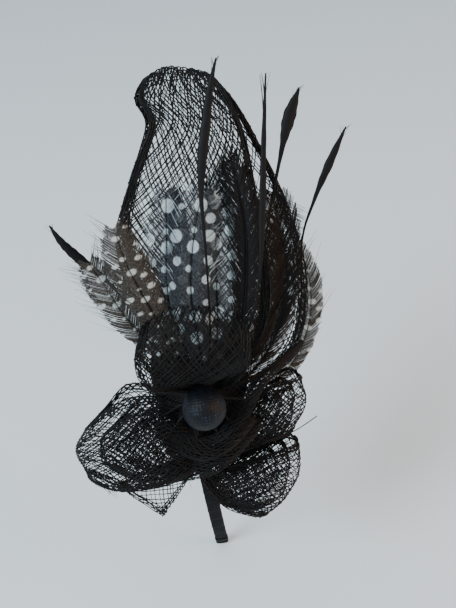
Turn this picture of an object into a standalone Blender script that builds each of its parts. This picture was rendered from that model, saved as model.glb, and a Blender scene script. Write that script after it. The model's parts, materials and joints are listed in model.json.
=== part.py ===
# Fascinator headpiece: bias-cut sinamay loops, guinea-fowl feathers and stripped
# quills on a small oval base, carried by a ribbon-wrapped headband.
#
# World frame, metres: +Z up, +X the wearer's front, -Y the wearer's right side.
# The band lies in the plane x = 0 and the origin is midway between its two tips.
# The trim is laid out in its own frame on the base, in millimetres as
# (x, out, up): x along the base towards the wearer's front, out away from the
# head, up along the head towards the crown.

import math

import bmesh
import bpy
from mathutils import Matrix, Vector

MM = 0.001
GAP = 0.3                      # clearance left between touching pieces

# Headband
BAND_RADIUS = 68.0             # half the distance between its sides at their widest
BAND_SHOULDER = 76.2           # height where the crown curve meets the legs
CROWN_HEIGHT = 56.0            # top of the crown curve above the shoulders
CROWN_POWER = 2.3              # 2 gives an ellipse, and more is flatter on top
TIP_SPREAD = 58.0              # half the distance between the two tips
TIP_HEIGHT = 1.6               # strip ends above the origin, the caps close below
STRIP_WIDTH = 4.0
STRIP_THICKNESS = 1.0
RIBBON_WIDTH = 5.4
RIBBON_THICKNESS = 2.4
RIBBON_WALL = 0.35
LEG_STEPS = 8
CROWN_STEPS = 30
CAP_LENGTH = 7.0
CAP_WALL = 0.7                 # at the closed end
CAP_ROUNDING = 0.35

# Base
BASE_TILT = 28.0               # degrees that the base leans back on the side of the head
BASE_LENGTH = 44.0
BASE_WIDTH = 32.0
BASE_SHIFT = 4.0               # middle of the base, forward of the band
BASE_THICKNESS = 2.0
BASE_MIDDLE = (-61.541, 107.722)  # y and z of the middle of its back
BASE_ROUNDING = 0.5
TAB_LENGTH = 20.0
TAB_WIDTH = 14.0
TAB_THICKNESS = 1.0
TAB_DEPTH = 4.6                # inside of its fold, below the base

# Centre
BUTTON_PLACE = (6.0, 35.5, -1.0)
BUTTON_RADIUS = 6.5
BUTTON_CUT = 3.8               # back of the ball below its middle
COVER_WALL = 0.4
SHELL_WALL = 0.5
BACK_RADIUS = 4.6
BACK_THICKNESS = 1.0
SHANK_RADIUS = 1.9
SHANK_WIRE = 0.55
KNOT_PLACE = (5.0, 19.2, -8.0)
KNOT_RADIUS = 8.0
KNOT_THICKNESS = 3.6
BINDING_PLACE = (4.0, -13.0)
BINDING_RADIUS = 2.6
BINDING_WAIST = 2.1
BINDING_TOP = 16.8

# Soft pieces
SINAMAY_THICKNESS = 0.8
FEATHER_THICKNESS = 0.6
QUILL_THICKNESS = 0.8

# Sinamay loops, each a list of sections from root to root:
# left edge, right edge (x, out, up), and how far the middle stands proud.
TALL_LOOP = [
    ((0, 6.0, -7), (7, 6.0, -8), 0),
    ((-7, 6.2, 11), (28, 5.6, -1), 0),
    ((-15, 6.6, 33), (40, 5.6, 10), 0),
    ((-15, 8.4, 51), (44, 7.2, 30), 0),
    ((-8, 12, 67), (41, 9.5, 50), 1),
    ((0, 15, 82), (34, 13, 71), 1),
    ((-2, 17, 90), (28, 16, 85), 2),
    ((2, 20, 95), (22, 19.5, 93), 3),
    ((0, 24, 89), (24, 24, 89), 2),
    ((2, 26, 81), (28.5, 26, 76), 1),
    ((-6, 26, 67), (30, 25.5, 56), 1),
    ((-11, 25, 52), (31, 23.5, 33), 0),
    ((-7, 22, 25), (26, 17.5, 13), 0),
    ((1, 15.6, 0), (9, 15.6, -1), 0),
]
UPPER_PETAL = [
    ((4, 26.4, 2.6), (9, 26.4, 2.6), 0),
    ((-5, 31.6, 7), (17, 31, 5), 0),
    ((-11, 34.6, 17), (22, 34, 13), 0),
    ((-8, 37, 26), (20, 37, 23), 5),
    ((-9, 41, 24), (22, 41, 20), 6),
    ((-11, 42.5, 17), (20, 43, 13), 2),
    ((-8.5, 36.5, 8), (15, 37.5, 8), 1),
    ((4.5, 28.6, 4.6), (9, 28.6, 4.6), 0),
]
LEFT_LOOP = [
    ((2, 9.5, -17), (1.5, 9.5, -26), 0),
    ((-8, 9, -2), (-10.5, 9, -34), 0),
    ((-19, 9, 2.5), (-24, 9, -35), -1),
    ((-28, 11, -4.5), (-32, 11, -29.5), -3),
    ((-33, 15.5, -8), (-34.5, 15.5, -24.5), -3),
    ((-29, 21, -4), (-32, 21, -25.5), -5),
    ((-18, 24.5, 2), (-23, 24.5, -28), -4),
    ((-7, 26, 1), (-9.5, 26, -27), -2),
    ((2, 24, -10.5), (2, 24, -24), 0),
]
LEFT_TAIL = [
    ((-3, 5, -26), (0, 5, -30), 0),
    ((-17, 5.5, -29.5), (-7.5, 6.5, -38.5), 0),
    ((-30.5, 7.5, -32.5), (-15, 8, -46.5), 0),
]
RIGHT_LOOP_UPPER = [
    ((6.5, 8, -22), (4.5, 8, -30), 0),
    ((19, 6.2, -9), (16.7, 6.2, -29), 0),
    ((32.5, 6.2, -0.5), (28, 6.2, -26), 0),
    ((37, 11, -2), (32.5, 11, -21), 2),
    ((35, 16, -1.5), (29, 16, -21), 2),
    ((23.5, 19.2, -3.5), (18.5, 19.2, -22), 1),
    ((10.5, 19, -14), (7, 19, -25), 0),
]
RIGHT_LOOP_LOWER = [
    ((6, 3.4, -32), (0.5, 3.4, -36.5), 0),
    ((20, 3.4, -28), (4, 3.4, -46), 0),
    ((30, 3.8, -24.5), (12.5, 4, -51), 0),
    ((33.5, 9, -24), (18.5, 10, -50), 5),
    ((31, 13.5, -25), (15, 15.5, -47), 5),
    ((18.5, 15, -27), (6, 16.5, -41), 1),
    ((8, 14, -29), (0.5, 15, -32), 0),
]
SIDE_SASH = [
    ((6.2, 27, -14.6), (9.8, 27, -17.6), 0),
    ((11.3, 27.5, -9.2), (14.9, 27.5, -12.2), 1),
    ((16, 27, -3.2), (19.8, 27, -5.8), 1),
    ((21.1, 26, 3), (23.9, 26, -0.6), 1),
    ((27.1, 24, 6.9), (28.9, 24, 2.9), 1),
    ((33, 21, 9.1), (34.4, 21, 5.3), 1),
    ((38.2, 17, 12), (39.6, 17, 9.2), 0),
]

# Feathers: points of the middle line (x, out, up) and half the width there.
GUINEA_LEFT = [
    ((1.5, 22.4, 3), 0.6), ((-1, 26.5, 16), 3), ((-6, 30, 31), 4.2), ((-10, 31, 43), 4),
    ((-12, 31, 54), 1),
]
GUINEA_SIDE = [
    ((0, 21.4, 5), 0.6), ((-6, 24.4, 16), 2.8), ((-13, 27.6, 27), 3.6), ((-17, 28.6, 36), 3.4),
    ((-21, 29, 45), 1),
]
GUINEA_CENTER = [
    ((7, 24, 3.5), 0.6), ((7, 29, 18), 4), ((7, 31, 33), 5), ((10, 31, 48), 4.5),
    ((14, 30.4, 60), 1),
]
GUINEA_INNER = [
    ((10, 22.2, 3), 0.6), ((14.5, 26, 20), 3.5), ((18, 28.2, 37), 4.5), ((20, 28.6, 53), 4),
    ((20, 28.2, 64), 1),
]
GUINEA_RIGHT = [
    ((20, 3.6, -9), 0.6), ((33, 3.2, -3), 2.6), ((42, 2.8, 10), 3.4), ((45, 2.2, 25), 3.2),
    ((43, 2.0, 39), 1),
]
HACKLE_CENTER = [
    ((9.5, 12, 0), 0.6), ((19, 16.2, 20), 3.5), ((24, 18, 41), 4.2), ((25, 19, 58), 3.6),
    ((24, 19.6, 71), 1),
]
HACKLE_RIGHT = [
    ((13, 9.2, -1), 0.6), ((26, 10.4, 11), 5), ((34, 12, 27), 6.5), ((36, 13, 44), 6),
    ((35, 14, 57), 1.2),
]
HACKLE_LOW = [
    ((4, 13.2, 3), 0.6), ((10.5, 17.5, 25), 2.4), ((12, 19.5, 42), 3.2), ((15, 21, 54), 2.8),
    ((22, 21.6, 68), 0.8),
]
SPEAR_1 = [
    ((8, 26.2, 6), 0.5), ((11, 32, 22), 0.5), ((13, 34, 47), 0.6), ((14, 34.4, 58), 1),
    ((18, 35, 79), 1), ((23, 36, 95), 0.4),
]
SPEAR_2 = [
    ((12, 26.2, 4.5), 0.5), ((22, 31, 20), 0.5), ((27, 32, 34), 0.5), ((30, 32, 51), 0.9),
    ((33, 32, 71), 0.7), ((36, 32, 90), 0.4),
]
SPEAR_3 = [
    ((15, 10.6, 4), 0.5), ((27, 14, 25), 0.5), ((32, 15.4, 46), 0.5), ((39, 16, 68), 0.6),
    ((43, 16, 79), 1.6), ((47, 16, 87), 0.4),
]
SPEAR_4 = [
    ((17, 7.6, -3), 0.5), ((33, 8.2, 4), 0.5), ((40, 9.4, 19), 0.5), ((43, 11, 41), 0.5),
    ((53, 13, 62), 1.2), ((60, 14, 74), 0.4),
]
CURL_FEATHER = [
    ((1.5, 12, 4), 0.5), ((-9, 14, 20), 0.5), ((-18, 15, 35), 0.6), ((-26, 15, 45), 1.6),
    ((-31, 17, 53), 1.2), ((-33, 18, 57), 0.4),
]
BARB_TUFT = [((25, 3.4, 21), 0.6), ((32, 3.2, 38), 0.8), ((38, 3.2, 53), 2.4), ((46, 3.2, 48), 0.8)]


def clear_scene():
    for item in list(bpy.data.objects):
        bpy.data.objects.remove(item, do_unlink=True)


def make_collection(name):
    collection = bpy.data.collections.new(name)
    bpy.context.scene.collection.children.link(collection)
    return collection


def make_material(name, colour, roughness, metallic=0.0):
    material = bpy.data.materials.new(name)
    material.use_nodes = True
    shader = material.node_tree.nodes["Principled BSDF"]
    shader.inputs["Base Color"].default_value = (*colour, 1.0)
    shader.inputs["Roughness"].default_value = roughness
    shader.inputs["Metallic"].default_value = metallic
    return material


def make_empty(name, location, tilt, parent):
    empty = bpy.data.objects.new(name, None)
    empty.empty_display_size = 20 * MM
    empty.location = location
    empty.rotation_euler = (tilt, 0.0, 0.0)
    empty.parent = parent
    parts.objects.link(empty)
    return empty


def add_object(name, data, material, parent, collection=None):
    item = bpy.data.objects.new(name, data)
    data.materials.append(material)
    item.parent = parent
    (collection or parts).objects.link(item)
    return item


def mesh_object(name, bm, material, parent, collection=None):
    mesh = bpy.data.meshes.new(name)
    bm.to_mesh(mesh)
    bm.free()
    item = add_object(name, mesh, material, parent, collection)
    return item


def smooth(item, angle=40.0):
    item.data.shade_smooth()
    item.data.set_sharp_from_angle(angle=math.radians(angle))


def curve_object(name, points, material, parent, closed=False):
    """A flat polyline in the curve's own XY plane, in millimetres."""
    curve = bpy.data.curves.new(name, "CURVE")
    curve.dimensions = "2D"
    curve.fill_mode = "BOTH" if closed else "NONE"
    spline = curve.splines.new("POLY")
    spline.points.add(len(points) - 1)
    for place, (x, y) in zip(spline.points, points):
        place.co = (x * MM, y * MM, 0.0, 1.0)
    spline.use_cyclic_u = closed
    return add_object(name, curve, material, parent)


def add_solidify(item, thickness, offset):
    wall = item.modifiers.new("wall", "SOLIDIFY")
    wall.thickness = thickness * MM
    wall.offset = offset
    wall.use_even_offset = False


def add_bevel(item, width, segments=2):
    bevel = item.modifiers.new("rounded", "BEVEL")
    bevel.width = width * MM
    bevel.segments = segments
    bevel.limit_method = "ANGLE"


def add_boolean(item, cutter, operation):
    cut = item.modifiers.new(cutter.name, "BOOLEAN")
    cut.object = cutter
    cut.operation = operation
    cut.solver = "EXACT"


def add_screw(item, steps):
    turn = item.modifiers.new("turned", "SCREW")
    turn.steps = steps
    turn.render_steps = steps
    turn.use_merge_vertices = True
    turn.merge_threshold = 0.00002


def trim_point(place):
    x, out, up = place
    return Vector((x, -out, up)) * MM


def blend(values, along):
    """The smooth curve through the values, at along = 0 to 1."""
    spans = len(values) - 1
    span = min(int(along * spans), spans - 1)
    t = along * spans - span
    before = values[max(span - 1, 0)]
    start = values[span]
    end = values[span + 1]
    after = values[min(span + 2, spans)]
    bend = 2 * before - 5 * start + 4 * end - after
    twist = 3 * start - before - 3 * end + after
    return 0.5 * (2 * start + (end - before) * t + bend * t**2 + twist * t**3)


def soft_sheet(name, sections, thickness, material, rows, columns):
    """One smooth sheet through the sections, with its thickness."""
    lefts = [trim_point(left) for left, _, _ in sections]
    rights = [trim_point(right) for _, right, _ in sections]
    crowns = [crown * MM for _, _, crown in sections]
    middles = [(left + right) / 2 for left, right in zip(lefts, rights)]
    step = 0.5 / rows
    bm = bmesh.new()
    bmesh.ops.create_grid(bm, x_segments=rows, y_segments=columns, size=1.0)
    for vert in bm.verts:
        along = (vert.co.x + 1) / 2
        across = vert.co.y
        left = blend(lefts, along)
        right = blend(rights, along)
        ahead = blend(middles, min(along + step, 1.0))
        behind = blend(middles, max(along - step, 0.0))
        proud = (ahead - behind).cross(right - left).normalized()
        crown = blend(crowns, along) * (1 - across**2)
        vert.co = (left + right) / 2 + (right - left) / 2 * across + proud * crown
    item = mesh_object(name, bm, material, trim)
    smooth(item, 60.0)
    add_solidify(item, thickness, 0.0)
    return item


def feather(name, spine, thickness, material, rows=10, columns=2):
    """A flat feather: sections square to its middle line, in the plane of the base."""
    middles = [Vector(place) for place, _ in spine]
    sections = []
    for number, (place, half_width) in enumerate(spine):
        ahead = middles[min(number + 1, len(spine) - 1)]
        behind = middles[max(number - 1, 0)]
        run = ahead - behind
        side = Vector((run.z, 0.0, -run.x)).normalized() * half_width
        middle = Vector(place)
        sections.append((middle - side, middle + side, 0))
    return soft_sheet(name, sections, thickness, material, rows, columns)


def leg_radius():
    """Radius of the long arc that brings a leg in from the shoulder to its tip."""
    drop = BAND_SHOULDER - TIP_HEIGHT
    inset = BAND_RADIUS - TIP_SPREAD
    return (drop**2 + inset**2) / (2 * inset)


def leg_lean():
    return math.asin((BAND_SHOULDER - TIP_HEIGHT) / leg_radius())


def band_path(cut=0.0):
    """The band's middle line as (y, z) from tip to tip, each end cut short by a length."""
    radius = leg_radius()
    lean = leg_lean() - cut / radius
    leg = []
    for step in range(LEG_STEPS):
        turn = lean * (1 - step / LEG_STEPS)
        inward = radius * (1 - math.cos(turn)) - BAND_RADIUS
        leg.append((inward, BAND_SHOULDER - radius * math.sin(turn)))
    crown = []
    for step in range(CROWN_STEPS + 1):
        turn = math.pi * step / CROWN_STEPS
        sideways = abs(math.cos(turn)) ** (2 / CROWN_POWER)
        upward = abs(math.sin(turn)) ** (2 / CROWN_POWER)
        y = math.copysign(BAND_RADIUS * sideways, -math.cos(turn))
        crown.append((y, BAND_SHOULDER + CROWN_HEIGHT * upward))
    far_leg = [(-y, z) for y, z in reversed(leg)]
    return leg + crown + far_leg


def band_strip(name, path, width, thickness, material):
    """A strip along a path in the band's plane, wide along X, with round edges."""
    item = curve_object(name, path, material, headpiece)
    item.rotation_euler = (math.radians(90), 0.0, math.radians(90))
    item.data.bevel_depth = thickness / 2 * MM
    item.data.bevel_resolution = 1
    item.data.extrude = (width - thickness) / 2 * MM
    return item


def make_band():
    core = band_strip("band_core", band_path(), STRIP_WIDTH, STRIP_THICKNESS, steel)
    core.data.use_fill_caps = True
    wound = band_path(CAP_LENGTH - CAP_WALL)
    ribbon = band_strip("band_ribbon", wound, RIBBON_WIDTH, RIBBON_THICKNESS, satin)
    add_solidify(ribbon, RIBBON_WALL, -1.0)
    make_tip_cap("tip_cap_near", -1)
    make_tip_cap("tip_cap_far", 1)


def make_tip_cap(name, side):
    """A glued end cap, flush with the ribbon, with a socket for the end of the strip."""
    middle = CAP_LENGTH / 2 - CAP_WALL - GAP
    tip = Matrix.Translation((0.0, side * TIP_SPREAD * MM, TIP_HEIGHT * MM))
    tip = tip @ Matrix.Rotation(side * -leg_lean(), 4, "X")
    cap_size = (RIBBON_WIDTH, RIBBON_THICKNESS, CAP_LENGTH)
    cap = box(name, cap_size, (0, 0, middle), satin, parts)
    socket_size = (STRIP_WIDTH + 2 * GAP, STRIP_THICKNESS + 2 * GAP, CAP_LENGTH)
    socket = box(name + "_socket", socket_size, (0, 0, CAP_LENGTH / 2 - GAP), satin, cutters)
    socket.hide_render = True
    socket.display_type = "WIRE"
    add_bevel(cap, CAP_ROUNDING, 3)
    add_boolean(cap, socket, "DIFFERENCE")
    for item in (cap, socket):
        item.matrix_local = tip
        item.parent = headpiece


def box(name, size, middle, material, collection):
    bm = bmesh.new()
    bmesh.ops.create_cube(bm, size=1.0)
    bmesh.ops.scale(bm, vec=Vector(size) * MM, verts=bm.verts)
    bmesh.ops.translate(bm, vec=Vector(middle) * MM, verts=bm.verts)
    return mesh_object(name, bm, material, None, collection)


def make_base():
    bm = bmesh.new()
    bmesh.ops.create_cone(
        bm, cap_ends=True, segments=40, radius1=1.0, radius2=1.0, depth=1.0)
    size = Vector((BASE_WIDTH / 2, BASE_LENGTH / 2, BASE_THICKNESS)) * MM
    bmesh.ops.scale(bm, vec=size, verts=bm.verts)
    base = mesh_object("base_disc", bm, felt, trim)
    base.rotation_euler = (math.radians(90), 0.0, 0.0)
    base.location = trim_point((BASE_SHIFT, BASE_THICKNESS / 2, 0))
    add_bevel(base, BASE_ROUNDING)
    smooth(base)


def make_band_tab():
    """A felt strip over the band, glued to the back of the base on both sides of it."""
    half = TAB_LENGTH / 2
    inner = RIBBON_WIDTH / 2 + GAP
    flange = GAP + TAB_THICKNESS
    hump = inner + TAB_THICKNESS
    right = [
        (inner, TAB_DEPTH), (inner + GAP, GAP), (half, GAP),
        (half, flange), (hump + GAP, flange), (hump, TAB_DEPTH + TAB_THICKNESS),
    ]
    left = [(-x, y) for x, y in reversed(right)]
    tab = curve_object("band_tab", right + left, felt, trim, closed=True)
    tab.data.extrude = TAB_WIDTH / 2 * MM


def make_centre():
    """The bound roots of the loops, and the sinamay knot that covers them."""
    x, up = BINDING_PLACE
    bottom = BASE_THICKNESS + GAP
    profile = [
        (0, BINDING_TOP), (BINDING_RADIUS, BINDING_TOP),
        (BINDING_WAIST, (BINDING_TOP + bottom) / 2),
        (BINDING_RADIUS, bottom), (0, bottom),
    ]
    turned("root_binding", profile, thread, (x, 0, up), 20)
    bm = bmesh.new()
    bmesh.ops.create_uvsphere(bm, u_segments=24, v_segments=12, radius=1.0)
    size = Vector((KNOT_RADIUS, KNOT_THICKNESS / 2, KNOT_RADIUS)) * MM
    bmesh.ops.scale(bm, vec=size, verts=bm.verts)
    knot = mesh_object("centre_knot", bm, sinamay, trim)
    knot.location = trim_point(KNOT_PLACE)
    smooth(knot)


def turned(name, profile, material, place, steps):
    """A profile of (radius, out), from the front to the back, turned about the out axis."""
    bm = bmesh.new()
    verts = [bm.verts.new((radius * MM, 0.0, out * MM)) for radius, out in profile]
    for start, end in zip(verts, verts[1:]):
        bm.edges.new((start, end))
    item = mesh_object(name, bm, material, trim)
    item.rotation_euler = (math.radians(90), 0.0, 0.0)
    item.location = trim_point(place)
    add_screw(item, steps)
    return item


def ball_profile(radius, cut, points=12):
    """An arc from the pole down past the equator to the cut."""
    last = math.pi / 2 + math.asin(cut / radius)
    turns = [last * number / (points - 1) for number in range(points)]
    return [(radius * math.sin(turn), radius * math.cos(turn)) for turn in turns]


def make_button():
    """A covered ball button: fabric over a metal shell, closed by a back with a shank."""
    cover = turned(
        "button_cover", ball_profile(BUTTON_RADIUS, BUTTON_CUT), weave, BUTTON_PLACE, 28)
    add_solidify(cover, COVER_WALL, -1.0)
    shell_radius = BUTTON_RADIUS - COVER_WALL - GAP
    shell = turned(
        "button_shell", ball_profile(shell_radius, BUTTON_CUT, 10), steel, BUTTON_PLACE, 24)
    add_solidify(shell, SHELL_WALL, -1.0)
    x, out, up = BUTTON_PLACE
    front = out - BUTTON_CUT - GAP
    profile = [
        (0, front), (BACK_RADIUS, front), (BACK_RADIUS, front - BACK_THICKNESS),
        (0, front - BACK_THICKNESS),
    ]
    back = turned("button_back", profile, steel, (x, 0, up), 24)
    loop = make_shank((x, front - BACK_THICKNESS - SHANK_RADIUS, up))
    add_boolean(back, loop, "UNION")


def make_shank(place):
    """The wire loop that the ball is sewn on by."""
    bpy.ops.mesh.primitive_torus_add(
        major_radius=SHANK_RADIUS * MM, minor_radius=SHANK_WIRE * MM,
        major_segments=16, minor_segments=8)
    loop = bpy.context.object
    loop.name = "shank_loop"
    for collection in list(loop.users_collection):
        collection.objects.unlink(loop)
    cutters.objects.link(loop)
    loop.parent = trim
    loop.location = trim_point(place)
    loop.rotation_euler = (0.0, math.radians(90), 0.0)
    loop.hide_render = True
    loop.display_type = "WIRE"
    return loop


def make_loops():
    loops = [
        ("tall_loop", TALL_LOOP, 30, 6), ("upper_petal", UPPER_PETAL, 18, 6),
        ("left_loop", LEFT_LOOP, 18, 6), ("left_tail", LEFT_TAIL, 8, 4),
        ("right_loop_upper", RIGHT_LOOP_UPPER, 16, 5),
        ("right_loop_lower", RIGHT_LOOP_LOWER, 16, 5), ("side_sash", SIDE_SASH, 12, 2),
    ]
    for name, sections, rows, columns in loops:
        soft_sheet(name, sections, SINAMAY_THICKNESS, sinamay, rows, columns)


def make_feathers():
    spotted = [
        ("guinea_left", GUINEA_LEFT), ("guinea_side", GUINEA_SIDE),
        ("guinea_center", GUINEA_CENTER), ("guinea_inner", GUINEA_INNER),
        ("guinea_right", GUINEA_RIGHT),
    ]
    plain = [
        ("hackle_center", HACKLE_CENTER), ("hackle_right", HACKLE_RIGHT),
        ("hackle_low", HACKLE_LOW), ("barb_tuft", BARB_TUFT),
    ]
    quills = [
        ("spear_1", SPEAR_1), ("spear_2", SPEAR_2), ("spear_3", SPEAR_3),
        ("spear_4", SPEAR_4), ("curl_feather", CURL_FEATHER),
    ]
    for name, spine in spotted:
        feather(name, spine, FEATHER_THICKNESS, guinea)
    for name, spine in plain:
        feather(name, spine, FEATHER_THICKNESS, black_feather)
    for name, spine in quills:
        feather(name, spine, QUILL_THICKNESS, black_feather, rows=12)


clear_scene()
parts = make_collection("fascinator_headpiece")
cutters = make_collection("cutters")

steel = make_material("spring_steel", (0.45, 0.45, 0.47), 0.35, 1.0)
satin = make_material("satin_ribbon", (0.012, 0.012, 0.013), 0.35)
felt = make_material("black_felt", (0.016, 0.016, 0.017), 0.9)
thread = make_material("black_thread", (0.018, 0.018, 0.02), 0.6)
sinamay = make_material("black_sinamay", (0.014, 0.013, 0.013), 0.55)
weave = make_material("woven_cover", (0.015, 0.017, 0.024), 0.4)
guinea = make_material("guinea_feather", (0.05, 0.042, 0.035), 0.7)
black_feather = make_material("black_feather", (0.01, 0.01, 0.012), 0.5)

headpiece = make_empty("headpiece_frame", (0.0, 0.0, 0.0), 0.0, None)
base_turn = math.radians(BASE_TILT)
base_y, base_z = BASE_MIDDLE
trim = make_empty("trim_frame", (0.0, base_y * MM, base_z * MM), -base_turn, headpiece)

make_band()
make_base()
make_band_tab()
make_centre()
make_button()
make_loops()
make_feathers()
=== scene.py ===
import json
import math
from functools import partial

import bmesh
import bpy
import numpy as np
from mathutils import Matrix, Vector


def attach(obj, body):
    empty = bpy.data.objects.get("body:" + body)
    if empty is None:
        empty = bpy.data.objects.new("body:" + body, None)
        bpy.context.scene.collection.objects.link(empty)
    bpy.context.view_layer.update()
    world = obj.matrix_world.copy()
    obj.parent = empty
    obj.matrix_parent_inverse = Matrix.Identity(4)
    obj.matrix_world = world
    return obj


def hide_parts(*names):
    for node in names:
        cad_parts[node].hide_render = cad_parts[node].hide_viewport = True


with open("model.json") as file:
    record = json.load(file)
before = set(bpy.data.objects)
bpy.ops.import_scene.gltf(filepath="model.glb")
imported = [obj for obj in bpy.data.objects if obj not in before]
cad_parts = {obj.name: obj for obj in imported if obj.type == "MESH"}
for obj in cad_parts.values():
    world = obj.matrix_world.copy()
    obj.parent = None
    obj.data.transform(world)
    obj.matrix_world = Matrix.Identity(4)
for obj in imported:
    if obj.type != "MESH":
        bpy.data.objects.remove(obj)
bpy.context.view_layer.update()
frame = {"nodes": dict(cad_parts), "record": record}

mm = 0.001
print("frame loaded")

# The trim has its own frame on the flat back of the base: x along the base towards the
# wearer's front, out away from the head, up towards the crown, all in millimetres.
baseBack = next(m for m in frame["record"]["mounts"] if m["name"] == "base_back")
outWay = -np.array(baseBack["axis"])
sideWay = np.array([1.0, 0.0, 0.0])
upWay = np.cross(sideWay, -outWay)
mountLow = 2.5 * mm  # the mount sits this far below the middle of the base
trimOrigin = np.array([0.0, *baseBack["pos_m"][1:]]) + mountLow * upWay


def trimPlace(points):
    # from (x, out, up) in millimetres to the world in metres
    points = np.asarray(points, float) * mm
    x, out, up = points[..., 0:1], points[..., 1:2], points[..., 2:3]
    return trimOrigin + x * sideWay + out * outWay + up * upWay


def blendRows(rows, along):
    # the smooth curve through the rows, at along = 0 to 1
    rows = np.asarray(rows, float)
    along = np.asarray(along, float)
    spans = len(rows) - 1
    span = np.clip((along * spans).astype(int), 0, spans - 1)
    t = (along * spans - span)[..., None]
    before, start = rows[np.maximum(span - 1, 0)], rows[span]
    end, after = rows[span + 1], rows[np.minimum(span + 2, spans)]
    bend = 2 * before - 5 * start + 4 * end - after
    twist = 3 * start - before - 3 * end + after
    return 0.5 * (2 * start + (end - before) * t + bend * t**2 + twist * t**3)


def unit(vectors):
    return vectors / np.maximum(np.linalg.norm(vectors, axis=-1, keepdims=True), 1e-9)


def runLengths(points):
    # how far along the run each of its points lies
    return np.concatenate([[0], np.cumsum(np.linalg.norm(np.diff(points, axis=0), axis=1))])


def heading(rows, along):
    # which way the curve through the rows runs, at along
    ahead, behind = np.minimum(along + 0.01, 1), np.maximum(along - 0.01, 0)
    return unit(blendRows(rows, ahead) - blendRows(rows, behind))


def signedPower(values, power):
    # below 1 it squares off a round section, with the signs kept
    return np.sign(values) * np.abs(values) ** power


def hexColour(text):
    # sRGB hex to the linear colour that sockets hold
    values = [int(text[i:i + 2], 16) / 255 for i in (1, 3, 5)]
    linear = [v / 12.92 if v <= 0.04045 else ((v + 0.055) / 1.055) ** 2.4 for v in values]
    return (*linear, 1.0)


def addNode(material, kind, settings=None, links=None, **fixed):
    # one node: fixed are its own properties, settings its socket values, links what feeds it
    node = material.node_tree.nodes.new(kind)
    for name, value in fixed.items():
        setattr(node, name, value)
    for name, value in (settings or {}).items():
        node.inputs[name].default_value = value
    for name, source in (links or {}).items():
        material.node_tree.links.new(source, node.inputs[name])
    return node


def startMaterial(name, settings):
    material = bpy.data.materials.new(name)
    material.use_nodes = True
    shader = material.node_tree.nodes["Principled BSDF"]
    for socket, value in settings.items():
        shader.inputs[socket].default_value = value
    return material, shader


def mathNode(material, operation, first, second=0.0, third=0.0):
    node = material.node_tree.nodes.new("ShaderNodeMath")
    node.operation = operation
    for socket, value in zip(node.inputs, (first, second, third)):
        if isinstance(value, (int, float)):
            socket.default_value = value
        else:
            material.node_tree.links.new(value, socket)
    return node.outputs[0]


def mixColour(material, factor, low, high):
    node = addNode(material, "ShaderNodeMix", data_type="RGBA")
    for socket, value in ((node.inputs[0], factor), (node.inputs[6], low), (node.inputs[7], high)):
        if isinstance(value, (int, float, tuple)):
            socket.default_value = value
        else:
            material.node_tree.links.new(value, socket)
    return node.outputs[2]


def objectNoise(material, size, **settings):
    # noise of this feature size in metres, in the object's own space
    coords = addNode(material, "ShaderNodeTexCoord")
    noise = addNode(material, "ShaderNodeTexNoise", {"Scale": 1 / size, **settings},
                    {"Vector": coords.outputs["Object"]})
    return noise.outputs["Fac"]


def mapRange(material, value, *limits):
    # limits: from low, from high, then to low and to high where they aren't 0 and 1
    settings = dict(zip(("From Min", "From Max", "To Min", "To Max"), limits))
    return addNode(material, "ShaderNodeMapRange", settings, {"Value": value}).outputs[0]


def bumpFrom(material, height, strength, distance):
    return addNode(material, "ShaderNodeBump", {"Strength": strength, "Distance": distance},
                   {"Height": height}).outputs[0]


shaderSockets = {"colour": "Base Color", "rough": "Roughness", "normal": "Normal"}


def feed(material, shader, **sources):
    for name, source in sources.items():
        material.node_tree.links.new(source, shader.inputs[shaderSockets[name]])
    return material


def meshFrom(name, bm):
    mesh = bpy.data.meshes.new(name)
    bm.to_mesh(mesh)
    bm.free()
    return mesh


def thicken(piece, name, thickness):
    wall = piece.modifiers.new(name, "SOLIDIFY")
    wall.thickness = thickness * mm
    wall.offset = 0.0


def linkPiece(name, data, material):
    piece = bpy.data.objects.new(name, data)
    bpy.context.scene.collection.objects.link(piece)
    data.materials.clear()
    data.materials.append(material)
    return piece


def keepPiece(piece, nodes=()):
    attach(piece, "root")
    if nodes:
        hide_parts(*nodes)
    return piece


def tubes(name, lines, radii, thickness, material, sides=0):
    # many fine threads as one mesh: each line is a run of world points, each radius a factor
    curve = bpy.data.curves.new(name, "CURVE")
    curve.dimensions = "3D"
    curve.bevel_depth = thickness / 2 * mm
    curve.bevel_resolution = sides
    for line, radius in zip(lines, radii):
        spline = curve.splines.new("POLY")
        spline.points.add(len(line) - 1)
        places = np.concatenate([line, np.ones((len(line), 1))], axis=1)
        spline.points.foreach_set("co", places.ravel())
        spline.points.foreach_set("radius", np.broadcast_to(radius, (len(line),)).astype(float))
    carrier = linkPiece(name + "Route", curve, material)
    bpy.context.view_layer.update()
    shape = carrier.evaluated_get(bpy.context.evaluated_depsgraph_get())
    mesh = bpy.data.meshes.new_from_object(shape)
    bpy.data.objects.remove(carrier)
    mesh.name = name
    mesh.shade_smooth()
    return linkPiece(name, mesh, material)


# Sinamay is woven from dyed abaca fibre: stiff, a little glossy, streaked brown where the
# dye is thin, so that each thread catches the light as a fine broken line. Its real count,
# about 0.8 mm from thread to thread, is too fine to show, so every piece is woven coarser.
def makeSinamayFibre():
    material, shader = startMaterial("dyedAbacaFibre", {"IOR": 1.5, "Specular IOR Level": 0.24})
    dye = mapRange(material, objectNoise(material, 9 * mm, Detail=3.0, Roughness=0.6), 0.35, 0.72)
    colour = mixColour(material, dye, hexColour("#030304"), hexColour("#0f0c0b"))
    rough = mapRange(material, objectNoise(material, 0.5 * mm, Detail=2.0), 0.3, 0.7, 0.38, 0.7)
    return feed(material, shader, colour=colour, rough=rough)


sinamayFibre = makeSinamayFibre()


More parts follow.
